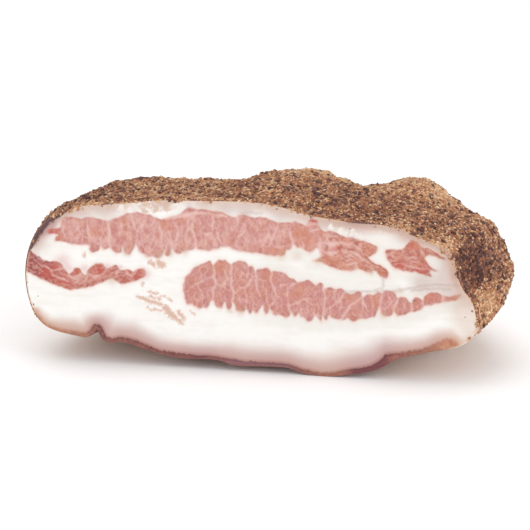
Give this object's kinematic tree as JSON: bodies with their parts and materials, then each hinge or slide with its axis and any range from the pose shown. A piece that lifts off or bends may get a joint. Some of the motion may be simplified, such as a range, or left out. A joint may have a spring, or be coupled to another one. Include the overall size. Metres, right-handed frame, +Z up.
{
  "type": "guanciale",
  "caption": "Half a cured pork jowl lying on its rind, with a flat cut face that shows streaks of lean in white fat, and a domed peppered crust behind it.",
  "frame": {"origin": "on the surface it lies on, under the middle of the piece's box", "axes": "+X along the cut face from left to right, +Y from the cut face into the meat, +Z up"},
  "size_m": [0.1958, 0.1124, 0.0745],
  "materials": {
    "peppered_crust": "dry cured skin packed with coarse ground pepper"
  },
  "bodies": {
    "root": {"guanciale": "peppered_crust"}
  },
  "joints": []
}
